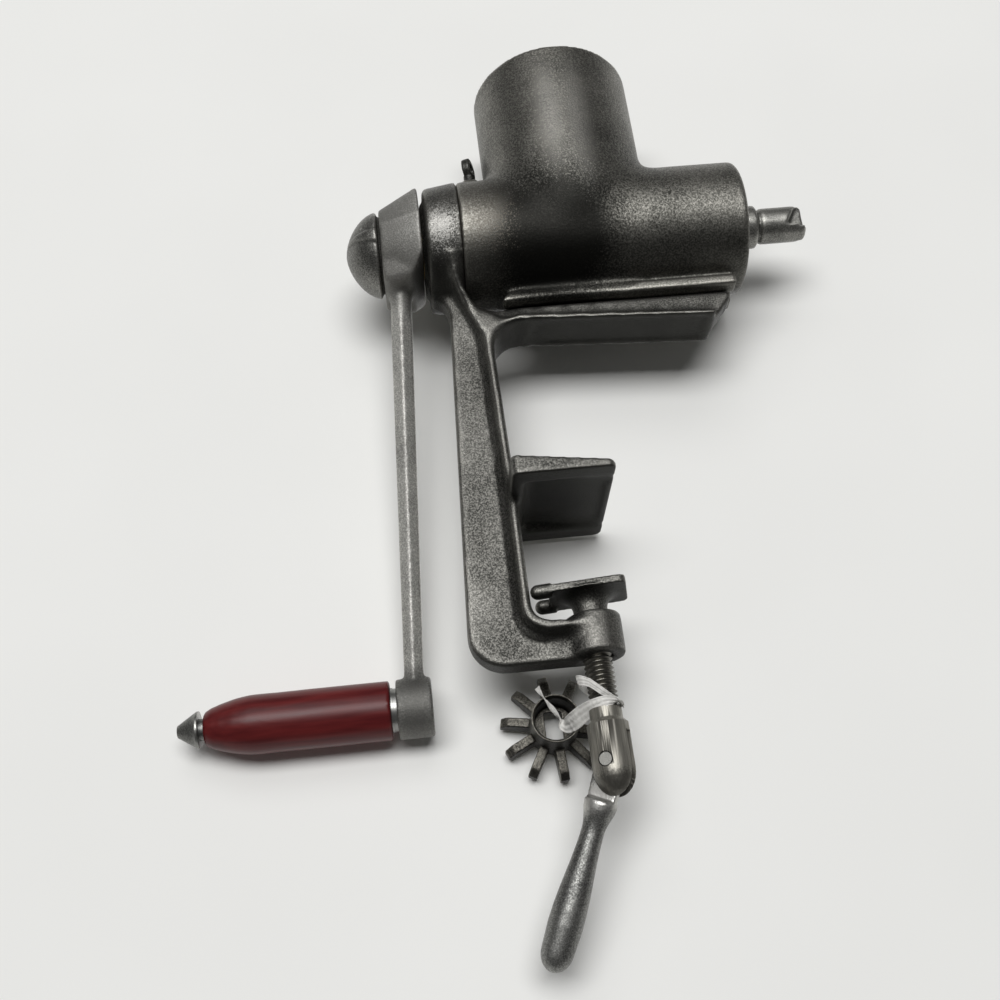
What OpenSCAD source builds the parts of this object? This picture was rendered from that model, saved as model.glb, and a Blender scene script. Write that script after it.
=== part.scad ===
// Hand cranked meat grinder with a table clamp, in millimetres.
// Origin: where the axis of the clamp screw meets the gripping face of the upper jaw.
// +X points to the outlet, +Z up to the hopper, and the crank hangs on the -X side.

/* [Barrel and hopper] */
// Height of the barrel axis above the jaw face
axis_z = 128.5; // [118:0.5:140]
// Distance of the hopper axis from the clamp screw axis
hopper_x = 16.5; // [10:0.5:22]
// Outer radius of the hopper
hopper_r = 35.7; // [33:0.1:38]
// Height of the hopper rim above the barrel axis
hopper_h = 81; // [70:0.5:95]
// Wall of the hopper
hopper_wall = 3.6; // [2.5:0.1:5]
// Height of the centre of the round hopper bottom above the barrel axis
bowl_h = 8; // [7:0.5:14]
// Outer radius of the barrel
barrel_r = 29; // [27:0.1:31]
// Wall of the barrel
barrel_wall = 4.5; // [3:0.1:6]
// Outlet end of the barrel
barrel_end_x = 89.5; // [80:0.5:100]
// Joint face between the body and the frame
seam_x = -33.4; // [-36:0.1:-30]
// Thickness of the rear wall of the body, which the frame plugs into
rear_wall = 13; // [11:0.5:15]
// Half width of the foot rail under the barrel
foot_half_w = 10.7; // [8:0.1:13]
// Height of the foot rail
foot_h = 5; // [4:0.1:7]
// Depth of the foot rail's lower face under the barrel axis
foot_drop = 36; // [35:0.1:40]
// Half width of the neck above the foot rail
foot_neck_half_w = 7.5; // [6:0.1:9]
// Start of the foot rail
foot_x0 = -19; // [-24:0.5:-10]
// Distance of the foot rail's end from the outlet
foot_end_inset = 7; // [4:0.5:12]
// Width of the groove in the foot rail
groove_w = 6; // [4:0.1:8]
// Depth of the groove in the foot rail
groove_d = 3; // [2:0.1:4]

/* [Frame] */
// Inner face of the post
post_x = -23; // [-25:0.1:-21]
// Thickness of the frame's flange
flange_t = 3.6; // [3:0.1:6]
// Thickness of the flange along the upper arm
upper_flange_t = 1.8; // [1.6:0.1:4]
// Width of the cove between the flange and the web
cove_w = 2.6; // [1:0.1:4]
// Lean of the post's inner face from the lower to the upper arm
post_lean = 1.8; // [0:0.1:4]
// Half width of the frame's flange
flange_half_w = 11.3; // [9:0.1:13]
// Half thickness of the frame's web
web_half_t = 5.5; // [4:0.1:8]
// Depth of the post at its foot
post_depth_bottom = 25.5; // [22:0.1:30]
// Upper face of the lower arm
arm_top_z = -50.5; // [-54:0.1:-46]
// Lower face of the lower arm
arm_bottom_z = -65.2; // [-70:0.1:-62]
// Outer corner radius of the frame
outer_corner_r = 14; // [8:0.5:18]
// Inner corner radius at the lower arm
inner_corner_r = 7; // [4:0.5:10]
// Inner corner radius under the upper arm
upper_corner_r = 12; // [8:0.5:15]
// Height of the upper arm's lower face at the post
upper_arm_z = 83.2; // [80:0.1:85]
// Fall of the upper arm towards the outlet
upper_arm_fall = 5.5; // [2:0.1:8]
// Outer end of the upper arm's plate
upper_arm_x = 70; // [60:0.5:78]
// Width of the bead round the hollow under the upper arm
hollow_rim = 2.6; // [2:0.1:4]
// Depth of the hollow under the upper arm
hollow_d = 0.9; // [0.4:0.1:1]
// Height of the arch between the post and the crank hub
arch_z = 100.5; // [97:0.5:101]
// Width of the arch
arch_w = 6.6; // [4:0.1:8]
// Depth of the arch
arch_h = 10; // [6:0.5:14]
// Upper end of the ridge, inside the ring
ridge_top_z = 111; // [106:0.5:114]
// Half width of the ridge at its upper end
ridge_half_w = 23.5; // [16:0.5:25]
// Length of the frame's ring
ring_len = 15; // [12:0.1:18]
// Radius of the ring on the crank side
ring_r_small = 27; // [25:0.1:28.5]
// Wall between the plug and the outside of the body
plug_wall = 9; // [7:0.1:11]
// Radius of the raised face on the ring that the crank's hub runs against
bearing_face_r = 20.5; // [16:0.1:23]
// Gap between that face and the hub
bearing_clear = 0.3; // [0.2:0.05:0.6]
// Gap all round the plug
plug_clear = 0.1; // [0.05:0.01:0.2]

/* [Upper jaw] */
// Reach of the jaw in front of the clamp screw axis
jaw_reach = 13.8; // [10:0.1:20]
// Half width of the jaw
jaw_half_w = 33; // [28:0.5:38]
// Thickness of the jaw at its tip
jaw_tip_t = 3; // [2.5:0.1:5]
// Thickness of the jaw at the post
jaw_root_t = 8.5; // [6:0.1:12]
// Width of the rims at both sides of the hollow in the jaw
jaw_side_rim = 10; // [5:0.5:12]
// Width of the rim at the tip of the jaw
jaw_tip_rim = 2.5; // [2:0.1:5]
// Wall of the jaw over its hollow
jaw_wall = 1.8; // [1.5:0.1:2.2]
// Radius of the cove between the jaw and the post
jaw_cove_r = 6; // [3:0.5:8]
// Corner radius of the jaw in plan
jaw_corner_r = 3; // [1:0.5:5]

/* [Clamp] */
// Radius of the threaded boss
boss_r = 11.1; // [9.5:0.1:13]
// Height of the boss above the lower arm
boss_rise = 3; // [2:0.1:5]
// Radius over the clamp screw's thread
screw_r = 5.55; // [5:0.05:6]
// Running clearance between round moving pieces and their bores
run_clear = 0.08; // [0.03:0.01:0.1]
// Thickness of the pad's plate
pad_t = 3; // [2.5:0.1:4]
// Half length of the pad
pad_half_l = 15; // [13:0.1:16]
// Half width of the pad
pad_half_w = 11.6; // [10:0.1:14]
// Height of the pad's hub under its plate
pad_hub_h = 8.2; // [6:0.1:10]
// Radius at the foot of the pad's hub
pad_hub_r = 6.6; // [6:0.1:8]
// Radius of the pad's horns
horn_r = 2.9; // [2:0.1:3.5]
// Turn of the loose pad on the screw
pad_turn = -9; // [-12:0.5:0]
// Radius of the screw's upper spigot, which turns in the pad
spigot_r = 3.6; // [3:0.1:4]
// Radius of the washer that keeps the pad on the spigot
keeper_r = 5.6; // [5:0.1:6.5]
// Thickness of the keeper washer
keeper_t = 1.8; // [1:0.1:2]
// Free thread between the boss and the screw's collar
free_thread = 20; // [18.5:0.1:26]
// Radius of the screw's collar
collar_r = 6.1; // [5.8:0.1:7.5]
// Height of the collar
collar_h = 3.8; // [3:0.1:6]
// Radius of the bullet shaped screw head
bullet_r = 7.8; // [7.4:0.05:9]
// Length of the straight part of the bullet head
bullet_straight = 18.3; // [18:0.1:22]
// Length of the round nose of the bullet head
bullet_nose = 10.2; // [9:0.1:13]
// Depth of the handle pin under the top of the bullet head
pin_drop = 15.6; // [14:0.1:16]
// Radius of the handle pin
pin_r = 2.4; // [2:0.1:2.8]
// Width of the slot in the bullet head
slot_w = 4; // [3.5:0.1:5]
// Height of the slot above the pin
slot_above_pin = 10.5; // [9:0.1:12]
// Turn of the clamp screw about its axis
screw_turn = 28; // [0:1:45]

/* [Drop handle] */
// Swing of the drop handle from the screw axis
handle_swing = 27; // [0:1:40]
// Thickness of the handle's flat eye
eye_t = 3.4; // [2.8:0.1:3.6]
// Radius of the handle's flat eye
eye_r = 6.4; // [5.5:0.1:8]
// Distance from the pin to the handle's shoulder
shoulder_d = 14; // [13.5:0.1:18]
// Radius of the shoulder
shoulder_r = 6.2; // [5:0.1:7]
// Radius of the handle's neck
neck_r = 4.2; // [4:0.1:5.5]
// Distance from the pin to the neck
neck_d = 25; // [22:0.5:28]
// Radius of the handle's belly
belly_r = 6.4; // [6:0.1:8]
// Distance from the pin to the belly
belly_d = 59; // [50:0.5:62]
// Distance from the pin to the handle's end
handle_len = 75.5; // [72:0.5:90]

/* [Crank] */
// Swing of the crank behind the vertical
crank_swing = 6.5; // [0:0.5:20]
// Throw of the crank from the barrel axis to the grip axis
crank_throw = 199.3; // [185:0.1:215]
// Gap between the frame's ring and the crank hub
hub_gap = 1.9; // [1:0.1:5]
// Length of the crank hub
hub_len = 17.5; // [13:0.1:19]
// Radius of the crank hub at the ring
hub_r_big = 28; // [25:0.1:29]
// Radius of the crank hub at the nose
hub_r_small = 19.2; // [17:0.1:22]
// Depth of the hub's straight sides under the axis
hub_skirt = 20.5; // [18:0.1:26]
// Height of the slanted cut at the lower rear corner of the hub
hub_cut_h = 8; // [3:0.1:10]
// Length of the slanted cut at the lower rear corner of the hub
hub_cut_l = 5; // [3:0.1:8]
// Height of the hub's straight sides above the axis
hub_rise = 4.5; // [2:0.1:8]
// Distance that the hub's straight sides stand out from the cone
hub_out = 0.4; // [0.3:0.1:1]
// Share of the hub's width that is left at the foot of its sides
hub_taper = 0.68; // [0.6:0.01:0.9]
// Distance of the arm behind the middle of the hub
arm_back = 2; // [0:0.1:3]
// Thickness of the arm along the axis at the hub
arm_tx_top = 9.2; // [8:0.1:12]
// Thickness of the arm along the axis at the grip
arm_tx_low = 7.4; // [6:0.1:10]
// Width of the arm across at the hub
arm_w_top = 15; // [12:0.1:18]
// Width of the arm across at the grip
arm_w_low = 12.5; // [10:0.1:15]
// Outward lean of the arm from hub to grip
arm_lean = 8.9; // [4:0.1:14]
// Radius of the boss at the grip end
grip_boss_r = 11.6; // [10:0.1:14]
// Length of the boss at the grip end
grip_boss_len = 13.8; // [12:0.1:18]
// Length of the nose screw's head
nose_len = 14.4; // [12:0.1:18]
// Fullness of the bullet nose: 1 is a cone, 2 an ellipse
nose_power = 1.7; // [1.2:0.05:2]
// Height of the finger lugs' upper faces above the axis
lug_rise = 2.5; // [0:0.1:5]
// Height of the finger lugs at the base of the nose
lug_h = 6; // [4:0.1:9]
// Distance that the finger lugs stand out at the base of the nose
lug_out = 0.9; // [0.5:0.1:2]
// Radius of the bullet nose at its base
nose_r = 18.7; // [17:0.1:21]
// Gap between the hub and the nose screw
nose_gap = 1.2; // [0.3:0.1:2]
// Radius of the shoulder that presses on the hub
nose_shoulder_r = 16.8; // [12:0.1:16.9]
// Radius of the nose screw's shank
nose_shank_r = 4; // [3:0.1:4.5]

/* [Grip] */
// Length of the wooden grip
grip_len = 71.5; // [60:0.5:90]
// Radius of the wooden grip
grip_r = 11.4; // [10:0.1:13]
// Radius of the grip's outer end
grip_end_r = 5.4; // [5:0.1:7]
// Length of the rounded end of the grip
grip_round_len = 40; // [16:0.5:50]
// Radius of the spindle in the grip
spindle_r = 4.2; // [3.5:0.1:4.5]
// Radius of the spindle's collar and washer
spindle_collar_r = 8.3; // [7:0.1:9]
// Thickness of the spindle's collar
spindle_collar_t = 1.4; // [1:0.1:2]
// Thickness of the grip washer
washer_t = 0.8; // [0.5:0.1:1.2]
// End play of the grip
grip_play = 0.1; // [0.05:0.01:0.2]
// Length of spindle that shows between the grip and its end cone
spindle_show = 1.9; // [1:0.1:3]
// Length of the end cone
cone_len = 8.3; // [6:0.1:11]
// Radius of the end cone at its base
cone_r = 7.1; // [6:0.1:8]
// Radius of the end cone at its tip
cone_tip_r = 2.3; // [1.5:0.1:3]

/* [Feed screw] */
// Radius of the journal in the frame
journal_r = 9; // [8.8:0.1:10]
// Wall of the bush round the journal
bush_wall = 2.5; // [2:0.1:3.5]
// Width across the square tang that drives the feed screw
tang_w = 12; // [10:0.1:12.2]
// Thickness of the thrust washer
thrust_t = 1.6; // [1:0.1:2.5]
// Core radius of the feed screw
core_r = 9.5; // [8.5:0.1:12]
// Gap between the flight and the barrel
flight_clear = 0.7; // [0.4:0.1:1.2]
// Pitch of the flight
flight_pitch = 30; // [24:0.5:36]
// Thickness of the flight along the axis
flight_t = 4.2; // [3:0.1:6]
// Distance of the flight's end from the outlet
flight_inset = 14; // [10:0.5:22]
// Distance that the driving stub stands out of the barrel
stub_len = 31.5; // [24:0.5:40]
// Length of the bayonet head of the stub
stub_head_len = 20; // [16:0.5:22]
// Length of the groove behind the bayonet head
stub_groove_len = 2; // [1.5:0.1:4]
// Radius of the groove behind the bayonet head
stub_groove_r = 6.6; // [6:0.1:7]
// Length of the slanting notches in the bayonet head
notch_len = 9; // [5:0.1:10]
// Radius of the bayonet head
stub_head_r = 7.9; // [7.2:0.1:7.9]

/* [Lock screw] */
// Distance of the lock screw from the joint face
lock_inset = 8; // [6.5:0.1:8]
// Radius of the lock screw
lock_r = 2.6; // [2:0.1:3]
// Rise of the lock screw's boss over the barrel
lock_boss_rise = 6.5; // [3:0.1:8]
// Radius of the lock screw's boss
lock_boss_r = 5; // [4.5:0.1:6]
// Outer radius of the finger eye
lock_eye_r = 5.2; // [4.5:0.1:5.5]
// Radius of the hole in the finger eye
lock_hole_r = 2.5; // [2:0.1:3]
// Bare length of the stem between boss and eye
lock_neck = 3.4; // [1:0.1:5]
// Turn of the finger eye when the screw is tight
lock_turn = 70; // [0:5:90]
// Thickness of the finger eye
lock_eye_t = 3.4; // [2.5:0.1:4.5]

/* [Cutter] */
// Distance of the tied cutter from the clamp screw axis along X
cutter_x = -17.2; // [-22:0.1:-14]
// Height of the tied cutter
cutter_z = -81.3; // [-90:0.1:-75]
// Distance from the clamp screw axis to the near face of the cutter hub
cutter_y = 14; // [13.5:0.1:18]
// Outer radius of the cutter hub
cutter_hub_r = 9.4; // [8.5:0.1:11]
// Bore radius of the cutter hub
cutter_bore_r = 8; // [7.2:0.1:8.5]
// Length of the cutter hub
cutter_len = 20; // [16:0.5:26]
// Turn of the tied cutter about its own axis
cutter_turn = 12; // [0:1:36]
// Number of teeth
teeth = 10; // [6:1:12]
// Radius over the teeth
tooth_r = 20.8; // [18:0.1:24]
// Width of a tooth
tooth_w = 3.7; // [2.5:0.1:5]
// Depth of a tooth at the hub
tooth_depth = 9; // [6:0.1:11]
// Depth of a tooth at its tip
tooth_tip_depth = 7; // [5:0.1:8]
// Radial length of the slope at a tooth's tip
tooth_slope = 2.6; // [1:0.1:4]
// Thickness of the web in the cutter's bore
cutter_web_t = 4; // [3:0.1:6]

/* [Tie strip] */
// Width of the paper strip
strip_w = 5.2; // [3:0.1:6]
// Thickness of the paper strip
strip_t = 0.7; // [0.5:0.1:1]
// Gap between the strip and the clamp screw
strip_clear = 0.45; // [0.3:0.05:1]

/* [Hidden] */
$fn = 64;

// Small gap between fixed pieces that seat on one another
seat = 0.05;
// Length by which a cut runs past the face it opens
past = 1;
// Steps in one turn of the flight
flight_steps = 24;

// Positions along the barrel axis, from the seam to the nose
ring_x0 = seam_x - ring_len;
face_x0 = ring_x0 - hub_gap + bearing_clear;
hub_x1 = ring_x0 - hub_gap;
hub_x0 = hub_x1 - hub_len;
nose_x1 = hub_x0 - nose_gap;
nose_x0 = nose_x1 - nose_len;
rear_x = seam_x + rear_wall;
barrel_bore_r = barrel_r - barrel_wall;
plug_r = barrel_r - plug_wall;
bush_r = journal_r + run_clear + bush_wall;
flight_x0 = rear_x + thrust_t + 2 * seat;
flight_x1 = barrel_end_x - flight_inset;
stub_x1 = barrel_end_x + stub_len;
stub_x0 = stub_x1 - stub_head_len - stub_groove_len;
foot_z = axis_z - foot_drop;
foot_x1 = barrel_end_x - foot_end_inset;

// Positions along the clamp screw
boss_top_z = arm_top_z + boss_rise;
boss_bottom_z = arm_bottom_z + 1.5;
pad_foot_z = boss_top_z + 0.3;
pad_plate_z = pad_foot_z + pad_hub_h;
pad_top_z = pad_plate_z + pad_t;
collar_z = boss_bottom_z - free_thread;
bullet_z = collar_z - collar_h;
pin_z = bullet_z - pin_drop;
horn_x = (post_x + 0.4 + horn_r - (pad_half_w - horn_r) * sin(pad_turn)) / cos(pad_turn);

// Positions along the grip, in the frame of the crank hanging straight down
arm_x = (hub_x0 + hub_x1) / 2 - arm_back;
grip_boss_x = arm_x - arm_lean;
boss_x0 = grip_boss_x - grip_boss_len / 2;
boss_x1 = grip_boss_x + grip_boss_len / 2;
collar_x0 = boss_x0 - spindle_collar_t;
washer_x0 = collar_x0 - seat - washer_t;
grip_x1 = washer_x0 - grip_play;
grip_x0 = grip_x1 - grip_len;
cone_x1 = grip_x0 - spindle_show;
cone_x0 = cone_x1 - cone_len;
cone_screw_r = 3;
cone_screw_len = 5;

// Lock screw
lock_x = seam_x + lock_inset;
lock_boss_z = axis_z + barrel_r + lock_boss_rise;

// Unit vector
function unit(v) = v / norm(v);

// Points of an arc of radius r that rounds the corner b of the path a, b, c
function corner_arc(a, b, c, r, n) =
    let (u = unit(a - b), v = unit(c - b), half = acos(u * v) / 2,
         m = b + unit(u + v) * r / sin(half),
         p = b + u * r / tan(half) - m, q = b + v * r / tan(half) - m,
         a0 = atan2(p.y, p.x), d = atan2(q.y, q.x) - a0,
         turn = d > 180 ? d - 360 : d < -180 ? d + 360 : d)
    [for (i = [0:n]) m + r * [cos(a0 + turn * i / n), sin(a0 + turn * i / n)]];

// Outline through corners [x, y, radius], with every radius rounded by n steps
function rounded(path, n = 7) =
    let (k = len(path), p = [for (c = path) [c.x, c.y]])
    [for (i = [0:k - 1])
        each path[i][2] > 0 ? corner_arc(p[(i + k - 1) % k], p[i], p[(i + 1) % k], path[i][2], n) : [p[i]]];

// Faces of a solid swept through n rings of four corners
function swept_faces(n) = concat([[0, 1, 2], [0, 2, 3]],
    [[4 * n - 2, 4 * n - 3, 4 * n - 4], [4 * n - 1, 4 * n - 2, 4 * n - 4]],
    [for (i = [0:n - 2], k = [0:3]) each
        let (a = 4 * i + k, b = 4 * i + (k + 1) % 4) [[a, a + 4, b], [b, a + 4, b + 4]]]);

// Plate parallel to the XZ plane, w to both sides of it
module plate(outline, w) {
    rotate([90, 0, 0]) linear_extrude(2 * w, center = true) polygon(outline);
}

// Solid turned about the barrel axis from a profile of [radius, x]
module turned(profile) {
    translate([0, 0, axis_z]) rotate([0, 90, 0]) rotate_extrude() polygon(profile);
}

// Round bar along the barrel axis
module bar_x(r, x0, x1) {
    translate([x0, 0, axis_z]) rotate([0, 90, 0]) cylinder(r = r, h = x1 - x0);
}

// Puts a piece of the hanging crank at its swing
module at_crank() {
    translate([0, 0, axis_z]) rotate([crank_swing, 0, 0]) translate([0, 0, -axis_z]) children();
}

// Puts a piece turned about the barrel axis on the grip axis of the hanging crank
module at_grip() {
    at_crank() translate([0, 0, -crank_throw]) children();
}

// Puts a piece of the clamp screw at its turn about the screw axis
module at_screw() {
    rotate([0, 0, -screw_turn]) children();
}

// Puts a piece of the drop handle, drawn hanging down from the pin, at its swing
module at_handle() {
    at_screw() translate([0, 0, pin_z]) rotate([0, handle_swing, 0]) children();
}

// Outline of the frame's web: ring foot, arch, post, lower arm and the rib under the foot rail
function web_outline() = rounded([
    [ring_x0 + 0.5, axis_z - bush_r - 4, 0],
    for (t = [0:15:90]) [ring_x0 + 0.5 + arch_w * sin(t), arch_z - arch_h + arch_h * cos(t), 0],
    [post_x - post_depth_bottom, arm_bottom_z, outer_corner_r],
    [0, arm_bottom_z, 0],
    [0, arm_top_z, 0],
    [post_x, arm_top_z, inner_corner_r],
    [post_x, jaw_root_t, 0],
    [post_x - post_lean, upper_arm_z, upper_corner_r],
    [upper_arm_x, upper_arm_z - upper_arm_fall, 2],
    [foot_x1, foot_z - seat, 2],
    [foot_x0 - 3, foot_z - seat, 3],
    [seam_x - 0.2, axis_z - barrel_r - 1, 3],
    [seam_x - 0.2, axis_z - bush_r - 4, 0]]);

// Outline of the ridge that carries the flange up to the ring
function ridge_outline() = rounded([
    [ring_x0 + 7.5, ridge_top_z, 0],
    [ring_x0 + 10, arch_z, 10],
    [post_x - post_lean - flange_t, upper_arm_z - 8, 5],
    [post_x - post_lean, upper_arm_z - 8, 0],
    [post_x + 0.6 * upper_corner_r, upper_arm_z + upper_flange_t, 6],
    [post_x - 6, upper_arm_z + 7, 8],
    [ring_x0 + 13, arch_z, 6],
    [ring_x0 + 10.5, ridge_top_z, 0]]);

// Outline of the wide flange round the inside of the frame, thicker by a given amount on its outer side
function flange_outline(more) = rounded([
    [post_x - post_lean - flange_t - more, upper_arm_z, 0],
    [post_x - flange_t - more, jaw_root_t, 0],
    [post_x - flange_t - more, arm_top_z - flange_t - more, inner_corner_r + flange_t],
    [0, arm_top_z - flange_t - more, 0],
    [0, arm_top_z, 0],
    [post_x, arm_top_z, inner_corner_r],
    [post_x, jaw_root_t, 0],
    [post_x - post_lean, upper_arm_z, upper_corner_r],
    [upper_arm_x, upper_arm_z - upper_arm_fall, 1],
    [upper_arm_x + 1, upper_arm_z - upper_arm_fall + upper_flange_t + more, 0.5],
    [post_x + upper_corner_r, upper_arm_z + upper_flange_t + more, 6]]);

// Ridge between flange and ring, which grows wider upwards until it meets the ring
module ridge() {
    intersection() {
        plate(ridge_outline(), ridge_half_w);
        translate([post_x, 0, 0]) rotate([90, 0, 90]) linear_extrude(4 * ring_len, center = true)
            polygon([[-flange_half_w + seat, 0], [-flange_half_w + seat, foot_z - 2],
                     [-ridge_half_w, ridge_top_z], [ridge_half_w, ridge_top_z],
                     [flange_half_w - seat, foot_z - 2], [flange_half_w - seat, 0]]);
    }
}

// Hollow under the upper arm, which leaves a bead along its edges
module arm_hollow() {
    x0 = post_x + upper_corner_r + hollow_rim;
    x1 = upper_arm_x - hollow_rim;
    slope = upper_arm_fall / (upper_arm_x - post_x);
    z0 = upper_arm_z - slope * (x0 - post_x);
    z1 = upper_arm_z - slope * (x1 - post_x);
    plate([[x0, z0 - past], [x1, z1 - past], [x1 - hollow_d, z1 + hollow_d], [x0 + hollow_d, z0 + hollow_d]],
          flange_half_w - hollow_rim);
}

// Jaw: a wedge that is thickest at the post, with rounded corners in plan and a hollow below
module jaw() {
    jaw_x0 = post_x - 3;
    hollow_x0 = post_x + jaw_tip_rim;
    hollow_x1 = jaw_reach - jaw_tip_rim;
    difference() {
        intersection() {
            plate([[jaw_x0, 0], [jaw_reach, 0], [jaw_reach, jaw_tip_t], [jaw_x0, jaw_root_t]], jaw_half_w);
            linear_extrude(jaw_root_t) polygon(rounded([
                [jaw_x0, -jaw_half_w, jaw_corner_r], [jaw_reach, -jaw_half_w, jaw_corner_r],
                [jaw_reach, jaw_half_w, jaw_corner_r], [jaw_x0, jaw_half_w, jaw_corner_r]]));
        }
        plate([[hollow_x0, -past], [hollow_x1, -past], [hollow_x1, jaw_tip_t - jaw_wall],
               [hollow_x0, jaw_root_t - jaw_wall - 1]], jaw_half_w - jaw_side_rim);
    }
}

// C shaped frame casting: a T section with the flange inside, the bearing ring, the jaw and the boss
module clamp_frame() {
    color("dimgray") difference() {
        union() {
            plate(web_outline(), web_half_t);
            plate(flange_outline(0), flange_half_w);
            plate(flange_outline(cove_w / 3), web_half_t + 0.6 * (flange_half_w - web_half_t));
            plate(flange_outline(cove_w), web_half_t + 0.25 * (flange_half_w - web_half_t));
            ridge();
            plate([[foot_x0 + 4, foot_z - 6], [foot_x1 - 4, foot_z - 6],
                   [foot_x1 - 4, foot_z + groove_d - 0.3], [foot_x0 + 4, foot_z + groove_d - 0.3]],
                  groove_w / 2 - plug_clear);
            turned([[0, face_x0], [bearing_face_r, face_x0], [bearing_face_r, ring_x0],
                    [ring_r_small - 1.5, ring_x0], [ring_r_small, ring_x0 + 1.2],
                    [barrel_r, seam_x - seat], [plug_r, seam_x - seat], [plug_r, rear_x], [0, rear_x]]);
            jaw();
            plate([[post_x - jaw_cove_r / 2, jaw_root_t - jaw_wall],
                   [post_x + jaw_cove_r, jaw_root_t - jaw_wall],
                   for (t = [0:15:90])
                       [post_x + jaw_cove_r * (1 - sin(t)), jaw_root_t - 1.3 + jaw_cove_r * (1 - cos(t))],
                   [post_x - jaw_cove_r / 2, jaw_root_t - 1.3 + jaw_cove_r]], flange_half_w);
            translate([0, 0, boss_bottom_z]) cylinder(r = boss_r, h = boss_top_z - boss_bottom_z);
        }
        arm_hollow();
        bar_x(bush_r, face_x0 - past, rear_x + past);
        translate([0, 0, arm_bottom_z - past])
            cylinder(r = screw_r + run_clear, h = boss_top_z - arm_bottom_z + 2 * past);
    }
}

// Body casting: hopper with a round bottom, barrel, rear wall and foot rail
module hopper_barrel() {
    color("slategray") difference() {
        union() {
            turned([[0, seam_x], [barrel_r, seam_x], [barrel_r, barrel_end_x - 1.5],
                    [barrel_r - 1.5, barrel_end_x], [0, barrel_end_x]]);
            translate([hopper_x, 0, axis_z + bowl_h]) {
                sphere(hopper_r);
                cylinder(r = hopper_r, h = hopper_h - bowl_h);
            }
            plate(rounded([[foot_x0, foot_z, 0], [foot_x1, foot_z, 1], [foot_x1, foot_z + foot_h, 0],
                           [foot_x0 + 3, foot_z + foot_h, 1]]), foot_half_w);
            plate([[foot_x0 + 3, foot_z + 1], [foot_x1, foot_z + 1], [foot_x1, axis_z - barrel_r + 4],
                   [foot_x0 + 3, axis_z - barrel_r + 4]], foot_neck_half_w);
            translate([lock_x, 0, axis_z + plug_r + 3])
                cylinder(r = lock_boss_r, h = lock_boss_z - axis_z - plug_r - 3);
        }
        bar_x(barrel_bore_r, rear_x, barrel_end_x + past);
        bar_x(plug_r + plug_clear, seam_x - past, rear_x + past);
        translate([hopper_x, 0, axis_z + bowl_h]) {
            sphere(hopper_r - hopper_wall);
            cylinder(r = hopper_r - hopper_wall, h = hopper_h);
        }
        plate([[foot_x0 - past, foot_z - past], [foot_x1 + past, foot_z - past],
               [foot_x1 + past, foot_z + groove_d], [foot_x0 - past, foot_z + groove_d]], groove_w / 2);
        translate([lock_x, 0, axis_z + plug_r - past])
            cylinder(r = lock_r + run_clear, h = lock_boss_z - axis_z - plug_r + 2 * past);
    }
}

// Thumb screw with a finger eye, which holds the body on the plug of the frame
module lock_screw() {
    eye_z = lock_boss_z + lock_eye_r + lock_neck;
    color("gray") {
        translate([lock_x, 0, axis_z + plug_r + 0.1])
            cylinder(r = lock_r, h = eye_z - lock_hole_r - 1 - axis_z - plug_r);
        translate([lock_x, 0, eye_z]) rotate([90, 0, lock_turn]) difference() {
            cylinder(r = lock_eye_r, h = lock_eye_t, center = true);
            cylinder(r = lock_hole_r, h = lock_eye_t + past, center = true);
        }
    }
}

// Plain bearing bush pressed into the frame's ring and plug
module shaft_bush() {
    color("darkgoldenrod") difference() {
        bar_x(bush_r - 0.02, face_x0, rear_x);
        bar_x(journal_r + run_clear, face_x0 - past, rear_x + past);
    }
}

// Thrust washer behind the feed screw
module thrust_washer() {
    color("tan") difference() {
        bar_x(plug_r - 2, rear_x + seat, rear_x + seat + thrust_t);
        bar_x(journal_r + run_clear, rear_x, rear_x + thrust_t + past);
    }
}

// Helical flight of the feed screw: a sector of the bore, twisted along the axis at the pitch
module flight() {
    r = barrel_bore_r - flight_clear;
    half = 180 * flight_t / flight_pitch;
    turns = (flight_x1 - flight_x0) / flight_pitch;
    translate([flight_x0, 0, axis_z]) rotate([0, 90, 0])
        linear_extrude(flight_x1 - flight_x0, twist = 360 * turns,
                       slices = ceil(flight_steps * turns), segments = 4)
            polygon([[0, 0], r * [cos(half), -sin(half)], [r, 0], r * [cos(half), sin(half)]]);
}

// Two slanting notches that leave a bayonet lug on each side of the driving stub
module stub_notches() {
    for (side = [0, 180])
        translate([0, 0, axis_z]) rotate([side, 0, 0]) translate([0, -stub_head_r - past, 0])
            rotate([90, 0, 180]) mirror([1, 0, 0]) linear_extrude(stub_head_r - 1)
                polygon([[stub_x1 - notch_len, -0.4 * stub_head_r],
                         [stub_x1 - 0.2 * notch_len, stub_head_r + past],
                         [stub_x1 + past, stub_head_r + past], [stub_x1 + past, -0.55 * stub_head_r]]);
}

// Feed screw: square tang, journal, core, flight and the bayonet stub that drives the cutter
module feed_screw() {
    head_x0 = stub_x1 - stub_head_len;
    color("darkgray") at_crank() difference() {
        union() {
            translate([hub_x0 + 3.2, -tang_w / 2, axis_z - tang_w / 2])
                cube([hub_x1 - hub_x0, tang_w, tang_w]);
            turned([[0, hub_x1 + seat], [journal_r, hub_x1 + seat], [journal_r, flight_x0],
                    [core_r, flight_x0], [core_r, stub_x0], [stub_groove_r, stub_x0],
                    [stub_groove_r, head_x0], [stub_head_r, head_x0],
                    [stub_head_r, stub_x1 - 1], [stub_head_r - 1, stub_x1], [0, stub_x1]]);
            flight();
        }
        stub_notches();
        bar_x(nose_shank_r + seat, hub_x0, hub_x1);
    }
}

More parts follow.
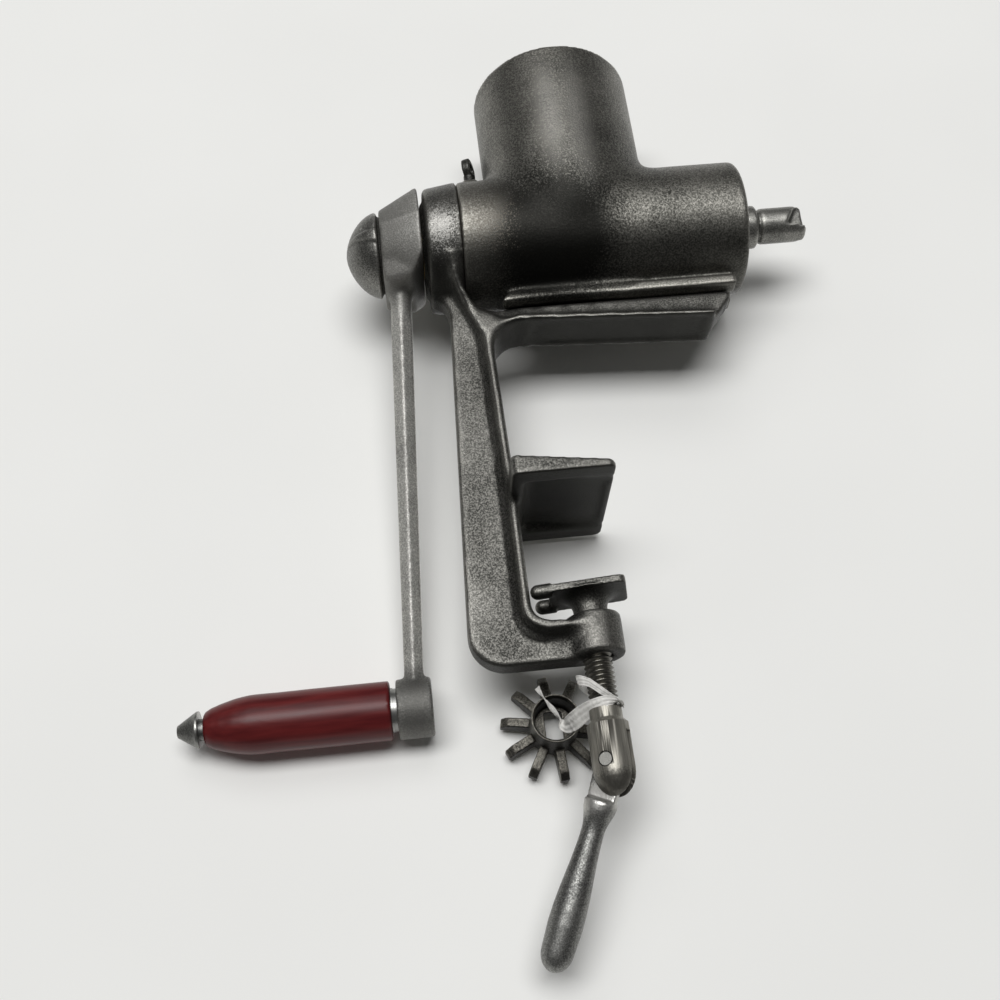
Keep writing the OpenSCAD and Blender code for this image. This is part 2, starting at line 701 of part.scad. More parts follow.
// Cross section of the crank arm, a flat six sided bar with ridges on both sides
module arm_section(x, z, tx, w) {
    translate([x, 0, z]) linear_extrude(1)
        polygon([[-tx / 2, -w / 4], [0, -w / 2], [tx / 2, -w / 4],
                 [tx / 2, w / 4], [0, w / 2], [-tx / 2, w / 4]]);
}

// Thin slice of the hub's sides at a given height, narrowed by a share
module hub_side(z, share) {
    translate([0, 0, z]) linear_extrude(1)
        polygon([[hub_x0, -share * (hub_r_small + hub_out)], [hub_x1, -share * (hub_r_big + hub_out)],
                 [hub_x1, share * (hub_r_big + hub_out)], [hub_x0, share * (hub_r_small + hub_out)]]);
}

// Crank hub: a cone above the axis and flat sides below it that narrow downwards, cut back under the ring
module crank_hub() {
    difference() {
        union() {
            turned([[0, hub_x0], [hub_r_small, hub_x0], [hub_r_big, hub_x1 - 0.6],
                    [hub_r_big - 0.8, hub_x1], [0, hub_x1]]);
            hull() {
                hub_side(axis_z + hub_rise - 1, 1);
                hub_side(axis_z - hub_skirt, hub_taper);
            }
        }
        translate([hub_x0 - past, -hub_r_big - past, axis_z - 2 * hub_skirt])
            cube([hub_len + 2 * past, 2 * hub_r_big + 2 * past, hub_skirt]);
        plate([[hub_x1, axis_z - hub_skirt + hub_cut_h], [hub_x1 - hub_cut_l, axis_z - hub_skirt],
               [hub_x1 - hub_cut_l, axis_z - 2 * hub_skirt], [hub_x1 + past, axis_z - 2 * hub_skirt],
               [hub_x1 + past, axis_z - hub_skirt + hub_cut_h]], hub_r_big + past);
    }
}

// Crank: hub, leaning six sided arm and the boss that carries the grip
module crank_arm() {
    color("silver") at_crank() difference() {
        union() {
            crank_hub();
            hull() {
                arm_section(arm_x, axis_z - hub_skirt + 3, arm_tx_top, arm_w_top);
                arm_section(grip_boss_x, axis_z - crank_throw + 3, arm_tx_low, arm_w_low);
            }
            translate([0, 0, -crank_throw]) bar_x(grip_boss_r, boss_x0, boss_x1);
        }
        translate([hub_x0 + 3, -tang_w / 2 - seat, axis_z - tang_w / 2 - seat])
            cube([hub_len, tang_w + 2 * seat, tang_w + 2 * seat]);
        bar_x(nose_shank_r + 0.3, hub_x0 - past, hub_x1);
        translate([0, 0, -crank_throw]) bar_x(spindle_r + seat, boss_x0 - past, boss_x1 + past);
    }
}

// Radius of the bullet nose at a share t of its length, measured from the base
function nose_radius(t) = nose_r * pow(1 - pow(t, nose_power), 1 / nose_power);

// Bullet shape of the nose, thicker all round by a given amount
module bullet(more) {
    turned([[0, nose_x0], [0.3 * more, nose_x0],
            for (i = [1:9]) let (t = 1 - pow(i / 10, 1.6)) [nose_radius(t) + more, nose_x1 - nose_len * t],
            [nose_r + more, nose_x1 - 0.8], [nose_r - 0.6 + more, nose_x1], [0, nose_x1]]);
}

// Bullet nosed screw that holds the crank on the feed screw, with a finger lug on each side
module crank_nose_screw() {
    lug_z = axis_z + lug_rise;
    color("silver") at_crank() {
        bullet(0);
        intersection() {
            bullet(lug_out);
            plate([[nose_x0 + 1, lug_z + 0.5], [nose_x1, lug_z],
                   [nose_x1, lug_z - lug_h], [nose_x0 + 1, lug_z - 0.8]],
                  2 * nose_r);
        }
        bar_x(nose_shoulder_r, nose_x1 - past, hub_x0 - seat);
        bar_x(nose_shank_r, nose_x1 - past, hub_x1 - 3);
    }
}

// Spindle bolt of the grip, with a collar against the crank's boss
module grip_spindle() {
    color("gainsboro") at_grip() {
        bar_x(spindle_r, cone_x1, boss_x1);
        bar_x(spindle_collar_r, collar_x0, boss_x0 - seat);
        bar_x(cone_screw_r, cone_x1 - cone_screw_len, cone_x1 + past);
    }
}

// Washer between the spindle's collar and the grip
module grip_washer() {
    color("gainsboro") at_grip() difference() {
        bar_x(spindle_collar_r + 0.3, washer_x0, collar_x0 - seat);
        bar_x(spindle_r + run_clear, washer_x0 - past, collar_x0 + past);
    }
}

// Turned wooden grip: straight, then rounded off to the outer end
module crank_grip() {
    round_x = grip_x0 + grip_round_len;
    color("firebrick") at_grip() difference() {
        turned([[0, grip_x1], [grip_r - 0.6, grip_x1], [grip_r, grip_x1 - 0.6],
                for (i = [0:8]) [grip_end_r + (grip_r - grip_end_r) * cos(i * 11.25),
                                 round_x - grip_round_len * sin(i * 11.25)],
                [0, grip_x0]]);
        bar_x(spindle_r + run_clear, grip_x0 - past, grip_x1 + past);
    }
}

// Cone shaped nut on the end of the spindle
module grip_end_cone() {
    color("darkgray") at_grip() difference() {
        turned([[0, cone_x0], [cone_tip_r, cone_x0], [cone_r, cone_x1 - 0.8], [cone_r, cone_x1 - seat],
                [0, cone_x1 - seat]]);
        bar_x(cone_screw_r + seat, cone_x1 - cone_screw_len - 0.5, cone_x1 + past);
    }
}

// Clamp pad: a plate with a flared hub below and two horns that bear on the post
module clamp_pad() {
    flare = pad_hub_h - 2;
    color("dimgray") difference() {
        rotate([0, 0, pad_turn]) union() {
            translate([0, 0, pad_plate_z]) linear_extrude(pad_t) polygon(rounded([
                [-pad_half_l, -pad_half_w, 1.5], [pad_half_l, -pad_half_w, 3],
                [pad_half_l, pad_half_w, 3], [-pad_half_l, pad_half_w, 1.5]]));
            for (side = [-1, 1]) {
                translate([horn_x, side * (pad_half_w - horn_r), pad_plate_z + horn_r / 2]) {
                    sphere(horn_r);
                    rotate([0, 90, 0]) cylinder(r = horn_r, h = -horn_x - pad_half_l + 2);
                }
            }
            rotate_extrude() difference() {
                translate([0, pad_foot_z]) square([pad_hub_r + flare, pad_hub_h + 0.5]);
                translate([pad_hub_r + flare, pad_plate_z - flare]) circle(flare);
                translate([pad_hub_r, pad_foot_z - past]) square([flare + past, pad_hub_h - flare + past]);
            }
        }
        translate([0, 0, pad_foot_z - past])
            cylinder(r = spigot_r + run_clear, h = pad_hub_h + pad_t + 2 * past);
        translate([0, 0, pad_top_z - keeper_t - 0.4]) cylinder(r = keeper_r + 0.3, h = keeper_t + past);
    }
}

// Washer that is riveted on the screw's spigot and keeps the pad
module pad_keeper() {
    color("gray") difference() {
        translate([0, 0, pad_top_z - keeper_t - 0.2]) cylinder(r = keeper_r, h = keeper_t);
        translate([0, 0, pad_plate_z]) cylinder(r = spigot_r - 0.8 + seat, h = pad_t + past);
    }
}

// Clamp screw: spigot, threaded rod, collar and a slotted bullet head with a bore for the pin
module clamp_screw() {
    keeper_z = pad_top_z - keeper_t - 0.2 - seat;
    rod_z = pad_foot_z - seat;
    tip_z = bullet_z - bullet_straight - bullet_nose;
    color("lightslategray") at_screw() difference() {
        rotate_extrude() polygon([
            [0, pad_top_z - 0.3], [spigot_r - 0.8, pad_top_z - 0.3], [spigot_r - 0.8, keeper_z],
            [spigot_r, keeper_z], [spigot_r, rod_z], [screw_r, rod_z], [screw_r, collar_z],
            [collar_r, collar_z], [collar_r, bullet_z],
            [bullet_r - 1.5, bullet_z - 0.4], [bullet_r, bullet_z - 2],
            for (i = [0:7])
                [bullet_r * cos(i * 11.25), bullet_z - bullet_straight - bullet_nose * sin(i * 11.25)],
            [0, tip_z]]);
        translate([-bullet_r - past, -slot_w / 2, tip_z - past])
            cube([2 * bullet_r + 2 * past, slot_w, pin_z + slot_above_pin - tip_z + past]);
        translate([0, 0, pin_z]) rotate([90, 0, 0])
            cylinder(r = pin_r + seat, h = 4 * bullet_r, center = true);
    }
}

// Pin through the bullet head and the handle's eye
module handle_pin() {
    color("gray") at_screw() translate([0, 0, pin_z]) rotate([90, 0, 0])
        cylinder(r = pin_r, h = 2 * bullet_r - 0.8, center = true);
}

// Drop handle: a flat eye in the slot and a turned drop that swells to its belly
module drop_handle() {
    end_r = belly_r * 0.93;
    color("slategray") at_handle() difference() {
        union() {
            rotate([90, 0, 0]) linear_extrude(eye_t, center = true) {
                circle(eye_r);
                polygon([[-eye_r, 0], [eye_r, 0],
                         [shoulder_r * 0.85, -shoulder_d - 2], [-shoulder_r * 0.85, -shoulder_d - 2]]);
            }
            rotate_extrude() polygon([
                [0, -shoulder_d], [shoulder_r - 1, -shoulder_d], [shoulder_r, -shoulder_d - 1],
                for (i = [0:4]) [neck_r + (shoulder_r - neck_r) * (1 + cos(i * 45)) / 2,
                                 -shoulder_d - 1.5 - (neck_d - shoulder_d - 1.5) * i / 4],
                for (i = [1:6]) [neck_r + (belly_r - neck_r) * (1 - cos(i * 30)) / 2,
                                 -neck_d - (belly_d - neck_d) * i / 6],
                for (i = [0:7]) [end_r * cos(i * 90 / 7),
                                 -handle_len + 1.25 * end_r - 1.25 * end_r * sin(i * 90 / 7)]]);
        }
        rotate([90, 0, 0]) cylinder(r = pin_r + run_clear, h = 2 * eye_t, center = true);
    }
}

// Star shaped cutter: a tubular hub with a slotted web inside and sloping radial teeth
module cutter() {
    root_r = (cutter_bore_r + cutter_hub_r) / 2;
    end = cutter_len - 0.4;
    color("dimgray") translate([cutter_x, cutter_y, cutter_z]) rotate([-90, 0, 0]) {
        rotate_extrude() polygon([[cutter_bore_r, 1.2], [cutter_bore_r + 0.8, 0], [cutter_hub_r, 0],
                                  [cutter_hub_r, cutter_len], [cutter_bore_r, cutter_len]]);
        for (i = [0:teeth - 1])
            rotate([0, 0, 360 * i / teeth + cutter_turn]) rotate([90, 0, 0])
                linear_extrude(tooth_w, center = true)
                polygon([[root_r, end], [tooth_r, end], [tooth_r, end - 0.6 * tooth_tip_depth],
                         [tooth_r - tooth_slope, end - tooth_tip_depth], [root_r, end - tooth_depth]]);
        translate([0, 0, cutter_len - cutter_web_t - 4]) difference() {
            cylinder(r = root_r, h = cutter_web_t);
            translate([-3.4, -5.5, -past]) cube([6.8, 11, cutter_web_t + 2 * past]);
        }
    }
}

// Points of the strip: out of the cutter's bore, once round the screw and back over the hub's rim
tie_r = screw_r + strip_clear + strip_t / 2;
tie_z = collar_z + strip_w / 2 + 0.6;
tie_route = concat(
    [[cutter_x + 0.25 * cutter_bore_r, cutter_y + 0.35 * cutter_len, cutter_z + 1],
     [cutter_x + 0.5 * cutter_bore_r, cutter_y + 0.05 * cutter_len, cutter_z + 1],
     [cutter_x + 0.8 * cutter_hub_r, cutter_y - 0.2 * cutter_len, cutter_z + 0.5]],
    [for (a = [195:22.5:510]) [tie_r * cos(a), tie_r * sin(a), tie_z]],
    [[-1.25 * tie_r, 1.9 * tie_r, tie_z + 1.35 * strip_w],
     [-1.9 * tie_r, 2.8 * tie_r, tie_z + 2.1 * strip_w]]);

// Frame across the route at point i: the strip's width stands upright, its thickness is level
function route_side(p, i) =
    let (a = p[max(i - 1, 0)], b = p[min(i + 1, len(p) - 1)], d = unit([b.x - a.x, b.y - a.y]))
    [-d.y, d.x, 0];

// Ring of four corners of the strip at point i
function strip_ring(p, i) =
    let (s = route_side(p, i) * strip_t / 2, h = [0, 0, strip_w / 2])
    [p[i] - s - h, p[i] + s - h, p[i] + s + h, p[i] - s + h];

// Twisted paper strip that ties the cutter to the clamp screw
module tie_strip() {
    n = len(tie_route);
    points = [for (i = [0:n - 1]) each strip_ring(tie_route, i)];
    color("white") polyhedron(points, swept_faces(n), convexity = 8);
}

clamp_frame();
hopper_barrel();
lock_screw();
shaft_bush();
thrust_washer();
feed_screw();
crank_arm();
crank_nose_screw();
grip_spindle();
grip_washer();
crank_grip();
grip_end_cone();
clamp_pad();
pad_keeper();
clamp_screw();
handle_pin();
drop_handle();
cutter();
tie_strip();
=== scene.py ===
import bmesh
import bpy
import math
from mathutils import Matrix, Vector


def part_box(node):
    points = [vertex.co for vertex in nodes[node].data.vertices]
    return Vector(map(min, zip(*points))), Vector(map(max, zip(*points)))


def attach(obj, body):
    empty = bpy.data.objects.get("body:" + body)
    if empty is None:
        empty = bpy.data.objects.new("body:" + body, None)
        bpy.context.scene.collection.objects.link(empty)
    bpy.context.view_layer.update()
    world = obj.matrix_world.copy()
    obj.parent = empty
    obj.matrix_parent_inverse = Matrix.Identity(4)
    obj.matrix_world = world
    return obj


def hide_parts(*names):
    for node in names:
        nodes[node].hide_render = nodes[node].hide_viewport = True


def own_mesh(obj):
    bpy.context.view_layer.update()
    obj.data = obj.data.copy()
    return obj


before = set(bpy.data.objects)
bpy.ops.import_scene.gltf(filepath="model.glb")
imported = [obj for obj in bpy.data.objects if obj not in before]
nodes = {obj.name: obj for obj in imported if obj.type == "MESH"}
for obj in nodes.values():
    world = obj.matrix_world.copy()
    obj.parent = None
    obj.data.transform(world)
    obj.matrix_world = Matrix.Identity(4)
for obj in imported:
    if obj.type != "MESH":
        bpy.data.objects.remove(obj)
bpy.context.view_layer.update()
bpy.ops.object.select_all(action="DESELECT")

# Table: a plain pale painted board, on which the grinder lies on its side and is seen from above.
# It stands upright behind the model, just clear of the hopper, and is seen from the front only.
# The lamp behind it shines through it, so that the back of the object can be seen too.
table_size, table_back = 6.0, 0.0362
table_dark, table_light = (0.80, 0.80, 0.78, 1), (0.85, 0.85, 0.83, 1)
table_mottle = 9.0
bpy.ops.mesh.primitive_plane_add(size=table_size, location=(0, table_back, 0),
                                 rotation=(math.radians(90), 0, 0))
table = bpy.context.object
table.name = "table"
bpy.ops.object.transform_apply(location=True, rotation=True, scale=True)


# A socket takes a plain value or what another node puts out
def feed(tree, socket, value):
    if isinstance(value, bpy.types.NodeSocket):
        tree.links.new(value, socket)
    else:
        socket.default_value = value


def shader_node(tree, kind, feeds, **settings):
    made = tree.nodes.new("ShaderNode" + kind)
    for name, value in settings.items():
        setattr(made, name, value)
    for socket, value in feeds.items():
        feed(tree, made.inputs[socket], value)
    return made.outputs


def combine(tree, operation, *values, clamp=False):
    return shader_node(tree, "Math", dict(enumerate(values)), operation=operation, use_clamp=clamp)["Value"]


# A mix node's sockets 6 and 7 are its two colours, and its third output is the mixed colour
def mix_colours(tree, share, first, second, way="MIX"):
    feeds = {"Factor": share, 6: first, 7: second}
    return shader_node(tree, "Mix", feeds, data_type="RGBA", blend_type=way)[2]


table_paint = bpy.data.materials.new("table_paint")
table_paint.use_nodes = True
tree = table_paint.node_tree
tree.nodes.clear()
where = shader_node(tree, "TexCoord", {})["Object"]
mottle = shader_node(tree, "TexNoise", {"Vector": where, "Scale": table_mottle})["Fac"]
matt = shader_node(tree, "BsdfDiffuse", {"Color": mix_colours(tree, mottle, table_dark, table_light)})["BSDF"]
clear = shader_node(tree, "BsdfTransparent", {})["BSDF"]
from_behind = shader_node(tree, "NewGeometry", {})["Backfacing"]
to_lamp = shader_node(tree, "LightPath", {})["Is Shadow Ray"]
see_through = combine(tree, "MAXIMUM", from_behind, to_lamp)
board = shader_node(tree, "MixShader", {"Fac": see_through, 1: matt, 2: clear})["Shader"]
shader_node(tree, "OutputMaterial", {"Surface": board})
table.data.materials.append(table_paint)

# Camera: it stands where the photograph was taken from, low over the clamp end of the grinder.
# Its place, turn and lens were fitted to the round rims and straight edges of the castings.
camera_place = (-0.06062, -0.43236, -0.19730)
camera_turn = (115.203, 6.312, -1.188)
camera_film, camera_lens, camera_nearest = 36.0, 43.2, 0.01
bpy.ops.object.camera_add(location=camera_place, rotation=[math.radians(turn) for turn in camera_turn])
camera = bpy.context.object
camera.data.sensor_width = camera_film
camera.data.lens = camera_lens
camera.data.clip_start = camera_nearest
bpy.context.scene.camera = camera

# Lamps: two soft ones in front, one long over the table and one like a window, and a third for the back.
# The room round them is dim, so each casting has one broad highlight and dark flanks.
lamp_aim, lamp_distance = Vector((-0.02, 0.0, 0.04)), 5.0
room_colour, room_light = (1.0, 1.0, 0.985, 1), 0.075
for name, toward, long, wide, power in (("ceiling_lamp", (-0.09, -1.0, 0.14), 5.0, 2.0, 222.0),
                                        ("window_lamp", (-0.12, -1.0, 0.68), 4.2, 2.4, 42.0),
                                        ("back_lamp", (0.25, 1.0, 0.45), 4.0, 3.0, 130.0)):
    lamp_place = lamp_aim + Vector(toward).normalized() * lamp_distance
    lamp_turn = (lamp_aim - lamp_place).to_track_quat("-Z", "Y").to_euler()
    bpy.ops.object.light_add(type="AREA", location=lamp_place, rotation=lamp_turn)
    lamp = bpy.context.object
    lamp.name = name
    lamp.data.shape = "ELLIPSE"
    lamp.data.size = long
    lamp.data.size_y = wide
    lamp.data.energy = power

room = bpy.data.worlds.new("room")
bpy.context.scene.world = room
room.use_nodes = True
room_air = room.node_tree.nodes["Background"].inputs
room_air["Color"].default_value = room_colour
room_air["Strength"].default_value = room_light
bpy.context.scene.view_settings.view_transform = "Standard"


# Frame casting: one grey iron casting with bearing ring, T section post, upper arm, jaw and threaded boss.
# It came out of a sand mould, so every edge is soft and every inner corner is a cove.
# Hands and rags have worn its edges bright, and its undersides and inner corners are painted darker as shade.
def surface_group(name, inputs, outputs):
    group = bpy.data.node_groups.new(name, "ShaderNodeTree")
    for side, sockets in (("INPUT", inputs), ("OUTPUT", outputs)):
        for socket, kind in sockets:
            group.interface.new_socket(socket, in_out=side, socket_type="NodeSocket" + kind)
    return group


def cast_grain():
    group = surface_group("cast_grain",
                          (("Deep", "Color"), ("Worn", "Color"), ("Grain", "Float"), ("Edge", "Float"),
                           ("Patches", "Float"), ("Under Shade", "Float"), ("Dull", "Float")),
                          (("Color", "Color"), ("Roughness", "Float"), ("Height", "Float")))
    given = group.nodes.new("NodeGroupInput").outputs
    made = group.nodes.new("NodeGroupOutput").inputs
    where = shader_node(group, "TexCoord", {})
    grain = shader_node(group, "TexNoise", {
        "Vector": where["Object"], "Scale": given["Grain"], "Detail": 5.0, "Roughness": 0.65})["Fac"]
    patches = shader_node(group, "TexNoise", {
        "Vector": where["Object"], "Scale": given["Patches"], "Detail": 5.0, "Roughness": 0.6})["Fac"]
    spread = shader_node(group, "MapRange", {
        "Value": patches, "From Min": 0.35, "From Max": 0.75, "To Max": 0.44})["Result"]
    speck = shader_node(group, "MapRange", {
        "Value": grain, "From Min": 0.42, "From Max": 0.66, "To Max": 0.72})["Result"]
    # Edges stand out from the mean surface and wear bright; inner corners keep the deep colour as painted
    # shade
    bend = shader_node(group, "NewGeometry", {})["Pointiness"]
    edge = shader_node(group, "MapRange", {"Value": bend, "From Min": 0.5, "From Max": 0.6})["Result"]
    clear_of_corner_shade = shader_node(group, "MapRange", {"Value": bend, "From Min": 0.4, "From Max": 0.5})["Result"]
    edge_wear = combine(group, "MULTIPLY", edge, given["Edge"])
    wear = combine(group, "ADD", combine(group, "ADD", spread, speck), edge_wear, clamp=True)
    # Faces turned downwards are painted darker, as painted shade
    upward = shader_node(group, "SeparateXYZ", {"Vector": where["Normal"]})["Z"]
    under_shade = shader_node(group, "MapRange", {"Value": upward, "From Min": -0.15, "From Max": -0.75})["Result"]
    clear_of_under_shade = combine(group, "SUBTRACT", 1.0, combine(group, "MULTIPLY", under_shade, given["Under Shade"]))
    bright = combine(group, "MULTIPLY", combine(group, "MULTIPLY", wear, clear_of_corner_shade), clear_of_under_shade)
    rough = shader_node(group, "MapRange", {"Value": bright, "To Min": 0.47, "To Max": 0.34})["Result"]
    feed(group, made["Color"], mix_colours(group, bright, given["Deep"], given["Worn"]))
    feed(group, made["Roughness"], combine(group, "ADD", rough, given["Dull"]))
    feed(group, made["Height"], grain)
    return group


def ragged_spot():
    group = surface_group("ragged_spot",
                          (("Below", "Color"), ("Spot", "Color"), ("Centre", "Vector"), ("Reach", "Vector"),
                           ("Ragged", "Float"), ("Most", "Float")),
                          (("Color", "Color"),))
    given = group.nodes.new("NodeGroupInput").outputs
    made = group.nodes.new("NodeGroupOutput").inputs
    where = shader_node(group, "TexCoord", {})["Object"]
    away = shader_node(group, "VectorMath", {0: where, 1: given["Centre"]}, operation="SUBTRACT")["Vector"]
    shares = shader_node(group, "VectorMath", {0: away, 1: given["Reach"]}, operation="DIVIDE")["Vector"]
    far = shader_node(group, "VectorMath", {0: shares}, operation="LENGTH")["Value"]
    crumbs = shader_node(group, "TexNoise", {
        "Vector": where, "Scale": 1300.0, "Detail": 5.0, "Roughness": 0.7})["Fac"]
    torn = combine(group, "MULTIPLY_ADD", combine(group, "SUBTRACT", crumbs, 0.5), given["Ragged"], far)
    cover = shader_node(group, "MapRange", {
        "Value": torn, "From Min": 1.3, "From Max": 0.6, "To Max": given["Most"]},
        interpolation_type="SMOOTHSTEP")["Result"]
    feed(group, made["Color"], mix_colours(group, cover, given["Below"], given["Spot"]))
    return group


cast_grain_group = cast_grain()
ragged_spot_group = ragged_spot()
metal_share, grain_height = 0.9, 0.0004


def casting_metal(name, deep, worn, grain, edge, patches, bump, under_shade=0.0, dull=0.0):
    metal = bpy.data.materials.new(name)
    metal.use_nodes = True
    tree = metal.node_tree
    shader = tree.nodes["Principled BSDF"].inputs
    surface = shader_node(tree, "Group", {
        "Deep": (*deep, 1), "Worn": (*worn, 1), "Grain": grain, "Edge": edge, "Patches": patches,
        "Under Shade": under_shade, "Dull": dull}, node_tree=cast_grain_group)
    relief = shader_node(tree, "Bump", {
        "Height": surface["Height"], "Strength": bump, "Distance": grain_height})
    feed(tree, shader["Base Color"], surface["Color"])
    feed(tree, shader["Roughness"], surface["Roughness"])
    feed(tree, shader["Normal"], relief["Normal"])
    feed(tree, shader["Metallic"], metal_share)
    return metal


def wear_spot(metal, centre, reach, colour, ragged, most):
    tree = metal.node_tree
    base = tree.nodes["Principled BSDF"].inputs["Base Color"]
    spot = shader_node(tree, "Group", {
        "Below": base.links[0].from_socket, "Spot": (*colour, 1), "Centre": centre, "Reach": reach,
        "Ragged": ragged, "Most": most}, node_tree=ragged_spot_group)
    feed(tree, base, spot["Color"])


weld = 0.00001


def merged_copy(node, name):
    piece = bpy.data.objects.new(name, nodes[node].data.copy())
    bpy.context.scene.collection.objects.link(piece)
    bpy.ops.object.select_all(action="DESELECT")
    bpy.context.view_layer.objects.active = piece
    piece.select_set(True)
    bpy.ops.object.mode_set(mode="EDIT")
    bpy.ops.mesh.select_all(action="SELECT")
    bpy.ops.mesh.remove_doubles(threshold=weld)
    bpy.ops.object.mode_set(mode="OBJECT")
    return piece


# With a vertex group, only the part of the skin that it marks is rubbed, and the mark is then wiped off
def rub_soft(skin, passes, group=""):
    rub = skin.modifiers.new("rub", "SMOOTH")
    rub.factor = 0.5
    rub.iterations = passes
    rub.vertex_group = group
    bpy.context.view_layer.objects.active = skin
    bpy.ops.object.modifier_apply(modifier="rub")
    skin.vertex_groups.clear()


def cast_skin(node, body, voxel, passes, metal):
    skin = merged_copy(node, node + "_skin")
    mould = skin.modifiers.new("mould", "REMESH")
    mould.mode = "VOXEL"
    mould.voxel_size = voxel
    bpy.ops.object.modifier_apply(modifier="mould")
    rub_soft(skin, passes)
    bpy.ops.object.shade_smooth()
    skin.data.materials.clear()
    skin.data.materials.append(metal)
    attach(skin, body)
    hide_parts(node)
    return skin


grey_casting = casting_metal("grey_casting", deep=(0.018, 0.018, 0.016), worn=(0.21, 0.205, 0.188),
                             grain=1500.0, edge=1.3, patches=38.0, bump=0.5, under_shade=0.9)
# The bearing ring has a pale speckled patch of painted highlight on rubbed metal, the boss is rubbed a
# little, and the hollow of the jaw is painted near black as shade
wear_spot(grey_casting, centre=(-0.042, -0.027, 0.1225), reach=(0.006, 0.03, 0.007),
          colour=(0.60, 0.59, 0.56), ragged=7.0, most=0.34)
wear_spot(grey_casting, centre=(0.0, -0.011, -0.055), reach=(0.0075, 0.006, 0.012),
          colour=(0.34, 0.33, 0.305), ragged=3.0, most=0.2)
# Painted shade: the hollow of the jaw is made near black
wear_spot(grey_casting, centre=(-0.004, 0.0, 0.013), reach=(0.016, 0.027, 0.012),
          colour=(0.004, 0.004, 0.0035), ragged=1.0, most=1.0)
frame_skin = cast_skin("clamp_frame", "frame", voxel=0.0008, passes=12, metal=grey_casting)

shaft_z, plug_r, plug_x = 0.1285, 0.026, -0.052
tapped_r, tapped_top = 0.0066, -0.044


def in_bore(place):
    in_plug = math.hypot(place.y, place.z - shaft_z) < plug_r and place.x > plug_x
    in_thread = math.hypot(place.x, place.y) < tapped_r and place.z < tapped_top
    return in_plug or in_thread


# The coves: hollow corners and the post's front edge are marked, with a fading band of rings round them
cove_rings, cove_hollow, cove_passes = 9, 0.00004, 90
post_low, post_high, post_front, edge_lean = -0.046, 0.1, -0.012, 0.25
corners = bmesh.new()
corners.from_mesh(frame_skin.data)
cove = frame_skin.vertex_groups.new(name="cove")
share, ring_now = {}, []
for v in corners.verts:
    mean = sum((e.other_vert(v).co for e in v.link_edges), Vector()) / len(v.link_edges)
    hollow = (mean - v.co).dot(v.normal) > cove_hollow
    on_post = post_low < v.co.z < post_high and v.co.x < post_front
    post_edge = on_post and v.normal.x > edge_lean and v.normal.y < -edge_lean
    if (hollow or post_edge) and not in_bore(v.co):
        share[v.index] = 1.0
        ring_now.append(v)
for ring in range(1, cove_rings):
    ring_next = []
    for v in ring_now:
        for e in v.link_edges:
            other = e.other_vert(v)
            if other.index not in share and not in_bore(other.co):
                share[other.index] = 1.0 - ring / cove_rings
                ring_next.append(other)
    ring_now = ring_next
corners.free()
for index, weight in share.items():
    cove.add([index], weight, "REPLACE")
rub_soft(frame_skin, cove_passes, "cove")

# Body casting: hopper, barrel and foot rail in one grey iron casting, pushed on the plug of the frame.
# The hopper turns into the barrel as a round bowl, with a wide casting radius all round.
# The bowl and the barrel round its foot are darkened nearly to black, and two pale streaks on the hopper are
# rubbed wear and painted highlight in one.
body_casting = casting_metal("body_casting", deep=(0.022, 0.022, 0.019), worn=(0.30, 0.291, 0.262),
                             grain=1300.0, edge=1.2, patches=30.0, bump=0.5, under_shade=0.6)
endless = 9.0
wear_spot(body_casting, centre=(0.005, 0.0, 0.1165), reach=(0.031, endless, 0.031),
          colour=(0.006, 0.006, 0.005), ragged=0.9, most=0.95)
# A pale speckled patch on the barrel's front left is painted highlight
wear_spot(body_casting, centre=(-0.0247, -0.027, 0.128), reach=(0.010, 0.03, 0.014),
          colour=(0.30, 0.275, 0.235), ragged=7.0, most=0.22)
# The two streaks down the hopper's front are rubbed wear and painted highlights in one
streak_wear_and_highlight_colour = (0.40, 0.39, 0.365)
wear_spot(body_casting, centre=(0.0095, -0.034, 0.172), reach=(0.0045, 0.02, 0.020),
          colour=streak_wear_and_highlight_colour, ragged=8.0, most=0.26)
wear_spot(body_casting, centre=(0.0225, -0.035, 0.168), reach=(0.004, 0.02, 0.020),
          colour=streak_wear_and_highlight_colour, ragged=8.0, most=0.26)
body_skin = cast_skin("hopper_barrel", "frame", voxel=0.0010, passes=4, metal=body_casting)

# The bowl: outside the barrel, the hopper starts to close higher up and closes more slowly than a ball
barrel_r, barrel_skin = 0.029, 0.0003
hopper_x, hopper_r, hopper_skin = 0.0165, 0.0357, 0.0012
bowl_low, bowl_z, bowl_top, bowl_deep = 0.104, 0.1365, 0.147, 0.044
for v in body_skin.data.vertices:
    on_barrel = math.hypot(v.co.y, v.co.z - shaft_z) < barrel_r + barrel_skin
    if on_barrel or not bowl_low < v.co.z < bowl_top:
        continue
    side = math.hypot(v.co.x - hopper_x, v.co.y)
    out = math.hypot(side, min(0.0, v.co.z - bowl_z))
    if hopper_r - hopper_skin < out < hopper_r + hopper_skin:
        new_side = hopper_r * math.sqrt(1.0 - ((bowl_top - v.co.z) / bowl_deep) ** 2)
        dx, dy = (v.co.x - hopper_x) * new_side / side, v.co.y * new_side / side
        if math.hypot(dy, v.co.z - shaft_z) < barrel_r:
            dy = math.copysign(math.sqrt(barrel_r ** 2 - (v.co.z - shaft_z) ** 2), dy)
        v.co.x, v.co.y = hopper_x + dx, dy

